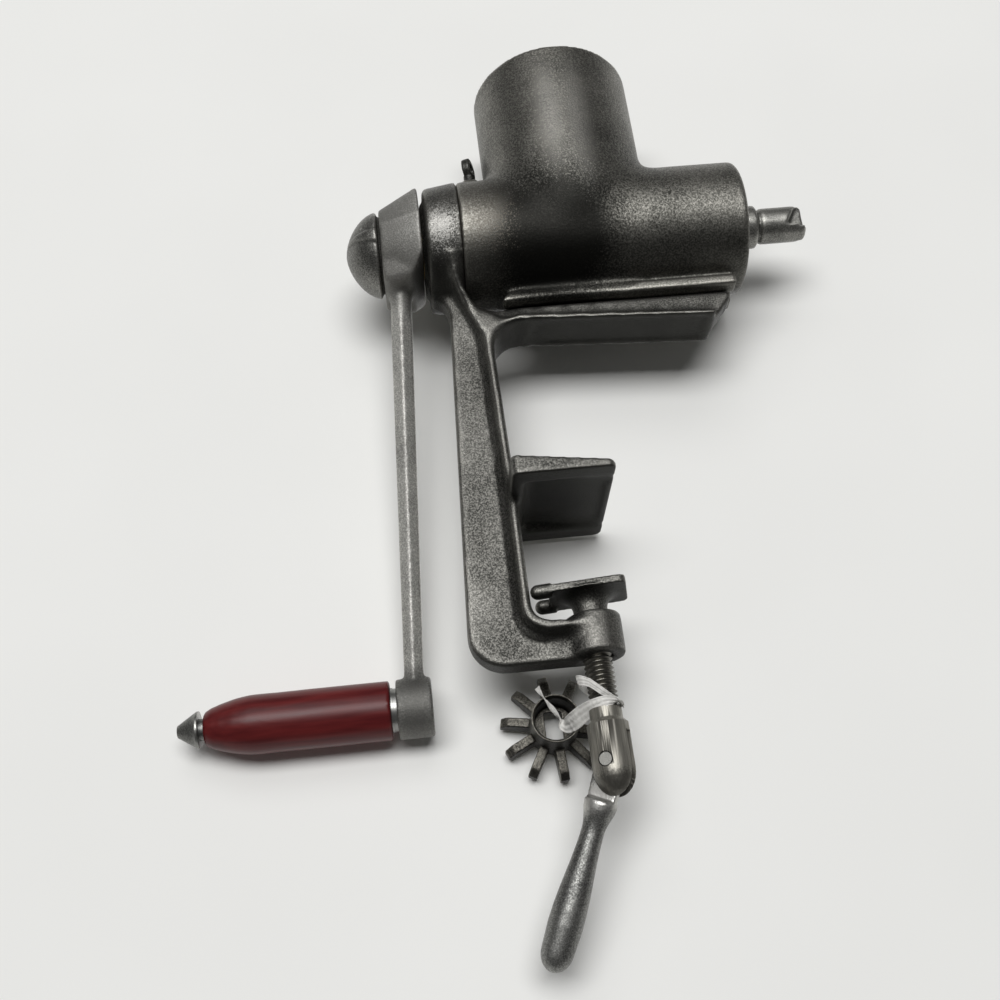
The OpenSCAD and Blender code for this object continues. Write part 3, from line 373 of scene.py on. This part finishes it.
# The throat: the corner between hopper and barrel is marked and rubbed round, clear of the lock screw's boss
throat_left, throat_right, throat_lap, throat_passes = 0.019, 0.013, 0.0015, 260
barrel_mouth = 0.085
lock_x, lock_clear, lock_fade = -0.0254, 0.0075, 0.006
throat = body_skin.vertex_groups.new(name="throat")
for v in body_skin.data.vertices:
    off_barrel = math.hypot(v.co.y, v.co.z - shaft_z) - barrel_r
    side = math.hypot(v.co.x - hopper_x, v.co.y)
    if v.co.z < bowl_top:
        side = math.hypot(side, (v.co.z - bowl_top) * hopper_r / bowl_deep)
    off_hopper = side - hopper_r
    reach = throat_right if v.co.x > hopper_x else throat_left
    if off_barrel > -throat_lap and off_hopper > -throat_lap and v.co.x < barrel_mouth:
        weight = max(0.0, 1.0 - max(off_barrel, off_hopper) / reach)
        if v.co.z > shaft_z:
            off_lock = math.hypot(v.co.x - lock_x, v.co.y) - lock_clear
            weight *= max(0.0, min(1.0, off_lock / lock_fade))
        throat.add([v.index], weight, "REPLACE")
rub_soft(body_skin, throat_passes, "throat")

# Lock screw: a small dark steel thumb screw with a finger eye.
# It is screwed down through the boss on top of the barrel and holds the body on the frame's plug.
dark_steel = casting_metal("dark_steel", deep=(0.012, 0.012, 0.011), worn=(0.09, 0.09, 0.085),
                           grain=1800.0, edge=1.0, patches=70.0, bump=0.3)
lock_skin = cast_skin("lock_screw", "lock", voxel=0.0004, passes=6, metal=dark_steel)


# Bush and thrust washer: a plain turned bronze bush and a steel washer inside the frame's ring and plug.
# The bush is pressed in and carries the shaft, and the washer takes the thrust of the feed screw.
def dress(node, metal):
    nodes[node].data.materials.clear()
    nodes[node].data.materials.append(metal)


bush_bronze = casting_metal("bush_bronze", deep=(0.30, 0.20, 0.08), worn=(0.62, 0.46, 0.22),
                            grain=2500.0, edge=0.6, patches=60.0, bump=0.1)
washer_steel = casting_metal("washer_steel", deep=(0.30, 0.30, 0.29), worn=(0.58, 0.58, 0.56),
                             grain=2500.0, edge=0.6, patches=60.0, bump=0.1)
dress("shaft_bush", bush_bronze)
dress("thrust_washer", washer_steel)

# Feed screw: a cast flight on a thick core, with a ground journal at one end.
# Its notched driving stub stands out at the mouth of the barrel and drives the cutter.
worn_steel = casting_metal("worn_steel", deep=(0.07, 0.07, 0.065), worn=(0.36, 0.355, 0.33),
                           grain=1700.0, edge=1.0, patches=60.0, bump=0.2)
feed_skin = cast_skin("feed_screw", "crank", voxel=0.0008, passes=4, metal=worn_steel)

# Crank: conical hub, six sided arm and grip boss in one iron casting, rubbed bright all along the arm.
# The hub sits on the feed screw's square tang, and the arm grows out of it with a soft root.
worn_casting = casting_metal("worn_casting", deep=(0.26, 0.256, 0.241), worn=(0.74, 0.73, 0.69),
                             grain=1500.0, edge=0.1, patches=50.0, bump=0.6, under_shade=0.6, dull=0.16)
# The hub and the grip boss are handled less and stay darker
wear_spot(worn_casting, centre=(-0.059, 0.0, shaft_z), reach=(0.030, 0.030, 0.030),
          colour=(0.155, 0.152, 0.141), ragged=0.6, most=0.85)
wear_spot(worn_casting, centre=(-0.070, 0.0226, -0.0695), reach=(0.015, 0.02, 0.015),
          colour=(0.12, 0.118, 0.11), ragged=0.6, most=0.95)
crank_skin = cast_skin("crank_arm", "crank", voxel=0.0006, passes=14, metal=worn_casting)
root_low, root_high, root_fade, root_passes = 0.092, 0.112, 0.006, 120
root = crank_skin.vertex_groups.new(name="root")
for v in crank_skin.data.vertices:
    weight = min((v.co.z - root_low) / root_fade, (root_high - v.co.z) / root_fade, 1.0)
    if weight > 0.0:
        root.add([v.index], weight, "REPLACE")
rub_soft(crank_skin, root_passes, "root")

# Nose screw: an iron screw with a bullet shaped head and a flat lug on each side for the fingers.
# It is screwed into the end of the feed screw's tang and holds the crank on.
nose_casting = casting_metal("nose_casting", deep=(0.05, 0.05, 0.046), worn=(0.30, 0.295, 0.275),
                             grain=1700.0, edge=1.3, patches=45.0, bump=0.4)
nose_skin = cast_skin("crank_nose_screw", "crank", voxel=0.0005, passes=1, metal=nose_casting)

# Spindle and washer of the grip: bright turned steel, seen as two rings and a short shank.
# The spindle is a bolt through the crank's boss, and the washer lies between its collar and the grip.
bright_steel = casting_metal("bright_steel", deep=(0.10, 0.10, 0.096), worn=(0.30, 0.30, 0.288),
                             grain=2600.0, edge=0.8, patches=90.0, bump=0.05)
dress("grip_spindle", bright_steel)
dress("grip_washer", bright_steel)


# Grip: turned beech with worn dark red paint, full at the shoulder, loose on the spindle.
# Brush and lathe have left fine streaks along it.
def long_streaks():
    group = surface_group("long_streaks",
                          (("Stretch", "Vector"), ("Fine", "Float"), ("Detail", "Float"), ("Ragged", "Float"),
                           ("Low", "Float"), ("High", "Float"), ("Dark", "Color"), ("Light", "Color"),
                           ("Dull Dark", "Float"), ("Dull Light", "Float")),
                          (("Color", "Color"), ("Roughness", "Float"), ("Height", "Float")))
    given = group.nodes.new("NodeGroupInput").outputs
    made = group.nodes.new("NodeGroupOutput").inputs
    where = shader_node(group, "TexCoord", {})["Object"]
    drawn = shader_node(group, "Mapping", {"Vector": where, "Scale": given["Stretch"]})["Vector"]
    streak = shader_node(group, "TexNoise", {
        "Vector": drawn, "Scale": given["Fine"], "Detail": given["Detail"],
        "Roughness": given["Ragged"]})["Fac"]
    light = shader_node(group, "MapRange", {
        "Value": streak, "From Min": given["Low"], "From Max": given["High"]})["Result"]
    rough = shader_node(group, "MapRange", {
        "Value": streak, "To Min": given["Dull Dark"], "To Max": given["Dull Light"]})["Result"]
    feed(group, made["Color"], mix_colours(group, light, given["Dark"], given["Light"]))
    feed(group, made["Roughness"], rough)
    feed(group, made["Height"], streak)
    return group


long_streaks_group = long_streaks()


def streaked(name, streaks, bump, height):
    finish = bpy.data.materials.new(name)
    finish.use_nodes = True
    tree = finish.node_tree
    shader = tree.nodes["Principled BSDF"].inputs
    surface = shader_node(tree, "Group", streaks, node_tree=long_streaks_group)
    relief = shader_node(tree, "Bump", {"Height": surface["Height"], "Strength": bump, "Distance": height})
    feed(tree, shader["Base Color"], surface["Color"])
    feed(tree, shader["Roughness"], surface["Roughness"])
    feed(tree, shader["Normal"], relief["Normal"])
    return finish


red_paint = streaked("red_paint", {
    "Stretch": (0.12, 1.0, 1.0), "Fine": 420.0, "Detail": 4.0, "Ragged": 0.5, "Low": 0.3, "High": 0.7,
    "Dark": (0.066, 0.007, 0.008, 1), "Light": (0.112, 0.013, 0.013, 1),
    "Dull Dark": 0.27, "Dull Light": 0.40}, bump=0.12, height=0.0003)
paint_gloss = 0.26
red_paint.node_tree.nodes["Principled BSDF"].inputs["Specular IOR Level"].default_value = paint_gloss
grip_skin = cast_skin("crank_grip", "grip", voxel=0.0007, passes=4, metal=red_paint)
grip_low, grip_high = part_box("crank_grip")
grip_y, grip_z = (grip_low[1] + grip_high[1]) / 2, (grip_low[2] + grip_high[2]) / 2
shoulder_at, shoulder_spread, shoulder_gain = 0.22, 0.14, 0.09
for v in grip_skin.data.vertices:
    along = (v.co.x - grip_low[0]) / (grip_high[0] - grip_low[0])
    fuller = 1.0 + shoulder_gain * math.exp(-((along - shoulder_at) / shoulder_spread) ** 2)
    v.co.y = grip_y + (v.co.y - grip_y) * fuller
    v.co.z = grip_z + (v.co.z - grip_z) * fuller

# End cone: a turned steel nut in the shape of a cone.
# It is screwed on the end of the spindle and keeps the grip on.
grey_steel = casting_metal("grey_steel", deep=(0.06, 0.06, 0.056), worn=(0.26, 0.26, 0.245),
                           grain=2200.0, edge=0.9, patches=80.0, bump=0.15)
dress("grip_end_cone", grey_steel)

# Clamp pad and its keeper: a small iron casting that swivels on the spigot of the clamp screw.
# Its two horns bear on the post, and a steel washer riveted on the spigot keeps it on.
pad_skin = cast_skin("clamp_pad", "pad", voxel=0.0005, passes=6, metal=grey_casting)
dress("pad_keeper", washer_steel)

# Clamp screw: turned from one steel bar, with a cut thread, a collar and a slotted bullet head.
# The head is brushed along its length, and a thin dark ring of painted shade stands round the pin for the gap
# round it.
# The thread is dark, with bright worn crests and painted shade in its roots.
brushed_steel = streaked("brushed_steel", {
    "Stretch": (1.0, 1.0, 0.035), "Fine": 1400.0, "Detail": 5.0, "Ragged": 0.7, "Low": 0.32, "High": 0.68,
    "Dark": (0.19, 0.181, 0.158, 1), "Light": (0.34, 0.327, 0.29, 1),
    "Dull Dark": 0.50, "Dull Light": 0.38}, bump=0.15, height=0.0002)
tree = brushed_steel.node_tree
shader = tree.nodes["Principled BSDF"].inputs
head_metal, head_turn, pin_z, to_mm = 0.85, math.radians(28), -0.1031, 1000.0
pin_shade_inner, pin_shade_outer, pin_shade_tone = 2.65, 2.95, 0.04
feed(tree, shader["Metallic"], head_metal)
where = shader_node(tree, "TexCoord", {})["Object"]
turned = shader_node(tree, "Mapping", {"Vector": where, "Rotation": (0, 0, head_turn)})["Vector"]
across = shader_node(tree, "Mapping", {
    "Vector": turned, "Location": (0, 0, -pin_z * to_mm), "Scale": (to_mm, 0, to_mm)})["Vector"]
off_pin = shader_node(tree, "VectorMath", {0: across}, operation="LENGTH")["Value"]
# Painted shade: a thin dark ring round the pin, where the gap round it falls in shade
pin_shade = shader_node(tree, "MapRange", {
    "Value": off_pin, "From Min": pin_shade_inner, "From Max": pin_shade_outer, "To Min": pin_shade_tone})["Result"]
steel_before_pin_shade = shader["Base Color"].links[0].from_socket
feed(tree, shader["Base Color"], mix_colours(tree, 1.0, steel_before_pin_shade, pin_shade, "MULTIPLY"))
# The lower end of the head is painted darker, as painted shade
wear_spot(brushed_steel, centre=(0.0, 0.0, -0.1135), reach=(endless, endless, 0.006),
          colour=(0.06, 0.057, 0.05), ragged=2.0, most=0.7)

head_fold, thread_fold = math.radians(28), math.radians(40)


def cut_copy(node, name, height, keep_above):
    part = merged_copy(node, name)
    bpy.ops.object.mode_set(mode="EDIT")
    bpy.ops.mesh.select_all(action="SELECT")
    bpy.ops.mesh.bisect(plane_co=(0, 0, height), plane_no=(0, 0, 1), use_fill=True,
                        clear_inner=keep_above, clear_outer=not keep_above)
    bpy.ops.object.mode_set(mode="OBJECT")
    bpy.ops.object.shade_smooth_by_angle(angle=head_fold)
    part.data.materials.clear()
    return part


thread_low, thread_high = -0.08375, -0.04735
screw_head = cut_copy("clamp_screw", "screw_head", thread_low, False)
screw_head.data.materials.append(brushed_steel)
screw_spigot = cut_copy("clamp_screw", "screw_spigot", thread_high, True)
screw_spigot.data.materials.append(brushed_steel)

# The thread: a three sided ridge wound round a plain core.
# A three sided circle is 1.5 radii high and the root of 3 radii wide.
thread_pitch, thread_crest, thread_root, thread_steps = 0.001814, 0.00555, 0.00445, 40
core_sides, core_lap = 48, 0.00015
flank = (thread_crest - thread_root) / 1.5
thread_long = thread_high - thread_low
bpy.ops.object.select_all(action="DESELECT")
bpy.ops.mesh.primitive_circle_add(vertices=3, radius=1.0, rotation=(math.radians(-90), math.radians(-90), 0))
screw_thread = bpy.context.object
screw_thread.name = "screw_thread"
bpy.ops.object.transform_apply(location=False, rotation=True, scale=False)
screw_thread.scale = (flank, 1.0, thread_pitch / math.sqrt(3))
screw_thread.location = (thread_crest - flank, 0, thread_low + thread_pitch / 2)
bpy.ops.object.transform_apply(location=True, rotation=True, scale=True)
wind = screw_thread.modifiers.new("wind", "SCREW")
wind.axis = "Z"
wind.screw_offset = thread_pitch
wind.iterations = int(thread_long / thread_pitch) - 1
wind.steps = thread_steps
wind.render_steps = thread_steps
bpy.ops.object.modifier_apply(modifier="wind")
bpy.ops.mesh.primitive_cylinder_add(vertices=core_sides, radius=thread_root + core_lap, depth=thread_long,
                                    location=(0, 0, (thread_high + thread_low) / 2))
bpy.ops.object.transform_apply(location=True, rotation=True, scale=True)
screw_thread.select_set(True)
bpy.context.view_layer.objects.active = screw_thread
bpy.ops.object.join()
bpy.ops.object.mode_set(mode="EDIT")
bpy.ops.mesh.select_all(action="SELECT")
bpy.ops.mesh.normals_make_consistent(inside=False)
bpy.ops.object.mode_set(mode="OBJECT")
bpy.ops.object.shade_smooth_by_angle(angle=thread_fold)
thread_steel = casting_metal("thread_steel", deep=(0.006, 0.006, 0.005), worn=(0.13, 0.125, 0.11),
                             grain=1500.0, edge=1.4, patches=90.0, bump=0.3)
screw_thread.data.materials.clear()
screw_thread.data.materials.append(thread_steel)
for part in (screw_head, screw_spigot, screw_thread):
    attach(part, "screw")
    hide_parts("clamp_screw")

# Handle pin and drop handle: a bright steel pin and a drop shaped steel handle.
# The pin is riveted across the slotted head, and the handle swings on it, with its neck rubbed bright.
pin_steel = casting_metal("pin_steel", deep=(0.30, 0.295, 0.275), worn=(0.55, 0.545, 0.51),
                          grain=2600.0, edge=0.5, patches=90.0, bump=0.2)
dress("handle_pin", pin_steel)
handle_steel = casting_metal("handle_steel", deep=(0.05, 0.05, 0.048), worn=(0.34, 0.34, 0.323),
                             grain=1800.0, edge=1.0, patches=70.0, bump=0.3)
wear_spot(handle_steel, centre=(0.0, 0.0, -0.1145), reach=(endless, endless, 0.0055),
          colour=(0.62, 0.61, 0.58), ragged=1.4, most=0.7)
handle_skin = cast_skin("drop_handle", "handle", voxel=0.0005, passes=6, metal=handle_steel)

# Cutter: a small dark star shaped casting with ten sloping teeth and a tubular hub.
# It goes on the feed screw's stub for work, and is tied to the clamp screw for storage.
cutter_metal = casting_metal("cutter_metal", deep=(0.010, 0.009, 0.008), worn=(0.20, 0.19, 0.165),
                             grain=1800.0, edge=0.8, patches=90.0, bump=0.5, under_shade=0.9)
cutter_skin = cast_skin("cutter", "frame", voxel=0.0004, passes=4, metal=cutter_metal)

# Tie strip: a torn strip of white paper, folded lengthwise, which ties the cutter to the clamp screw.
# It is threaded through the cutter, wound round the screw and tucked in.
paper_dark, paper_light = (0.55, 0.54, 0.51, 1), (0.86, 0.85, 0.82, 1)
paper_shade, paper_rough = 600.0, 0.85
white_paper = bpy.data.materials.new("white_paper")
white_paper.use_nodes = True
tree = white_paper.node_tree
shader = tree.nodes["Principled BSDF"].inputs
where = shader_node(tree, "TexCoord", {})["Object"]
shade = shader_node(tree, "TexNoise", {"Vector": where, "Scale": paper_shade})["Fac"]
feed(tree, shader["Base Color"], mix_colours(tree, shade, paper_dark, paper_light))
feed(tree, shader["Roughness"], paper_rough)

# Each point of the route: its place in mm, the strip's width there as a share, and its twist in degrees
mm = 0.001
strip_half_w, paper_thick = 2.6 * mm, 0.22 * mm
crumple_size, crumple_height = 1.6 * mm, 0.6 * mm
strip_folds = (0.10, -0.22, 0.16, -0.10, 0.24, -0.14, 0.12)
strip_route = (
    (-22.9, 13.2, -69.0, 0.44, 0), (-21.6, 12.6, -72.0, 0.40, 70), (-19.4, 13.4, -75.4, 0.42, 170),
    (-17.0, 16.6, -78.4, 0.36, 260), (-15.0, 19.6, -81.6, 0.55, 340), (-13.4, 18.6, -84.0, 1.15, 375),
    (-10.7, 11.6, -83.8, 1.35, 385), (-7.4, 4.0, -82.9, 1.25, 385), (-4.8, -3.4, -83.0, 1.05, 385),
    (-0.6, -7.1, -82.3, 0.85, 380), (4.0, -5.8, -82.2, 0.60, 420), (7.0, -0.6, -82.4, 0.45, 520),
    (4.6, 5.4, -80.6, 0.45, 640), (-0.6, 7.3, -77.6, 0.45, 700), (-5.6, 5.0, -74.2, 0.60, 720),
    (-9.0, 0.6, -71.9, 0.80, 730), (-8.2, -3.0, -72.4, 0.75, 735), (-5.4, -5.2, -74.0, 0.62, 740),
    (-3.0, -6.6, -76.6, 0.58, 750), (-0.4, -7.1, -79.2, 0.58, 770), (2.8, -6.6, -81.2, 0.50, 800),
    (5.4, -4.6, -82.6, 0.40, 840), (6.8, -1.2, -83.6, 0.28, 880))
bpy.ops.object.select_all(action="DESELECT")
section_line = bpy.data.curves.new("strip_section", "CURVE")
section_line.dimensions = "2D"
folds = section_line.splines.new("POLY")
folds.points.add(len(strip_folds) - len(folds.points))
for i, fold in enumerate(strip_folds):
    across_strip = 2 * i / (len(strip_folds) - 1) - 1
    folds.points[i].co = (fold * mm, strip_half_w * across_strip, 0, 1)
strip_section = bpy.data.objects.new("strip_section", section_line)
bpy.context.scene.collection.objects.link(strip_section)
bpy.ops.curve.primitive_nurbs_path_add()
paper_strip = bpy.context.object
paper_strip.name = "paper_strip"
line = paper_strip.data.splines[0]
line.points.add(len(strip_route) - len(line.points))
for point, (x, y, z, wide, twist) in zip(line.points, strip_route):
    point.co = (x * mm, y * mm, z * mm, 1.0)
    point.radius = wide
    point.tilt = math.radians(twist)
line.use_endpoint_u = True
line.order_u = 3
line.resolution_u = 10
paper_strip.data.twist_mode = "Z_UP"
paper_strip.data.bevel_mode = "OBJECT"
paper_strip.data.bevel_object = strip_section
bpy.ops.object.convert(target="MESH")
bpy.data.objects.remove(strip_section)
finer = paper_strip.modifiers.new("finer", "SUBSURF")
finer.subdivision_type = "SIMPLE"
finer.levels = 1
finer.render_levels = 1
crumple = bpy.data.textures.new("crumple", "CLOUDS")
crumple.noise_scale = crumple_size
creases = paper_strip.modifiers.new("creases", "DISPLACE")
creases.texture = crumple
creases.strength = crumple_height
thickness = paper_strip.modifiers.new("thickness", "SOLIDIFY")
thickness.thickness = paper_thick
for step in ("finer", "creases", "thickness"):
    bpy.ops.object.modifier_apply(modifier=step)
bpy.ops.object.shade_smooth()
paper_strip.data.materials.clear()
paper_strip.data.materials.append(white_paper)
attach(paper_strip, "frame")
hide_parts("tie_strip")
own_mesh(paper_strip)
